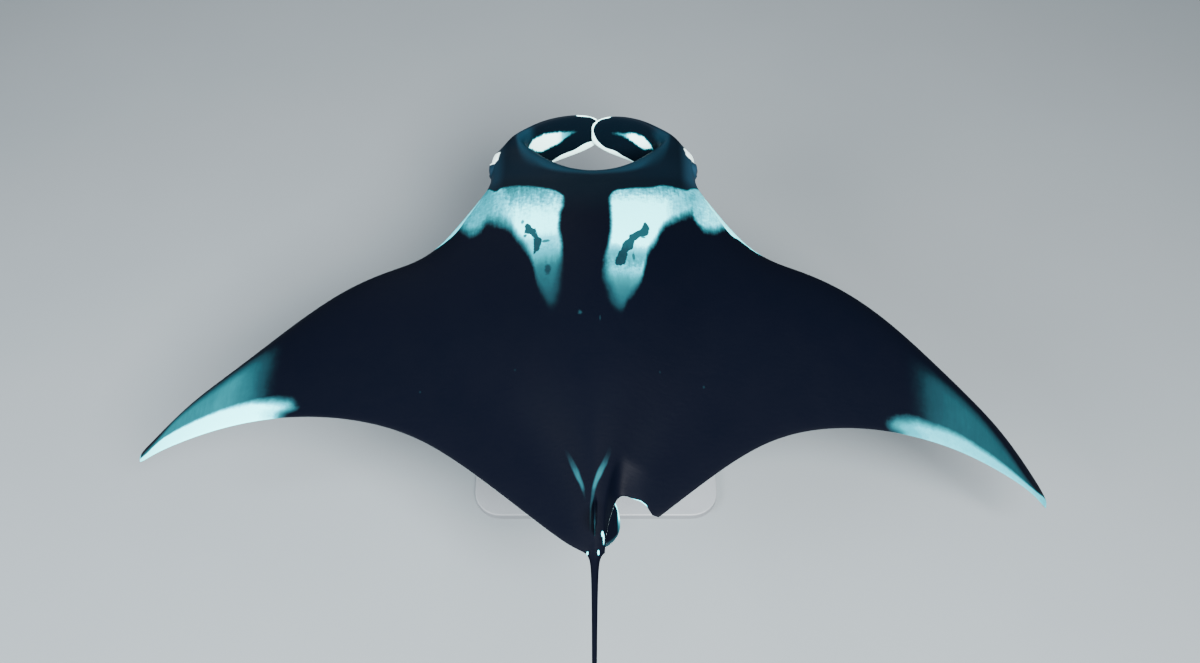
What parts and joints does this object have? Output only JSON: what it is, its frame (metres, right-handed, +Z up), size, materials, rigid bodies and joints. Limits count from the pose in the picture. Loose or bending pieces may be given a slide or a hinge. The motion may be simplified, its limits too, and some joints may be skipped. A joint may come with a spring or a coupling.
{
  "type": "reef manta ray",
  "caption": "Reef manta ray gliding with its wings on the downstroke and its head fins spread round the mouth, held over a flat base by rods.",
  "frame": {"origin": "centre of the underside of the stand's base, on the floor", "axes": "+X to the animal's left wing, -Y ahead of its mouth, +Y towards its tail, +Z up out of its back"},
  "size_m": [3.0885, 2.9343, 0.9777],
  "materials": {
    "skin_dark": "satin, nearly black above with white patches, white below",
    "skin_pale": "satin",
    "eye_gloss": "glossy, opaque",
    "stand_paint": "satin"
  },
  "bodies": {
    "root": {"head": "skin_dark", "lower_jaw": "skin_pale", "cephalic_fin_left": "skin_dark", "cephalic_fin_right": "skin_dark", "eye_left": "eye_gloss", "eye_right": "eye_gloss", "trunk": "skin_dark", "pectoral_fin_left": "skin_dark", "pectoral_fin_right": "skin_dark", "pelvic_fin_left": "skin_dark", "pelvic_fin_right": "skin_dark", "dorsal_fin": "skin_dark", "tail_base": "skin_dark", "tail_middle": "skin_dark", "tail_tip": "skin_dark", "stand_base": "stand_paint", "stand_rod_front": "stand_paint", "stand_rod_rear": "stand_paint"}
  },
  "joints": []
}
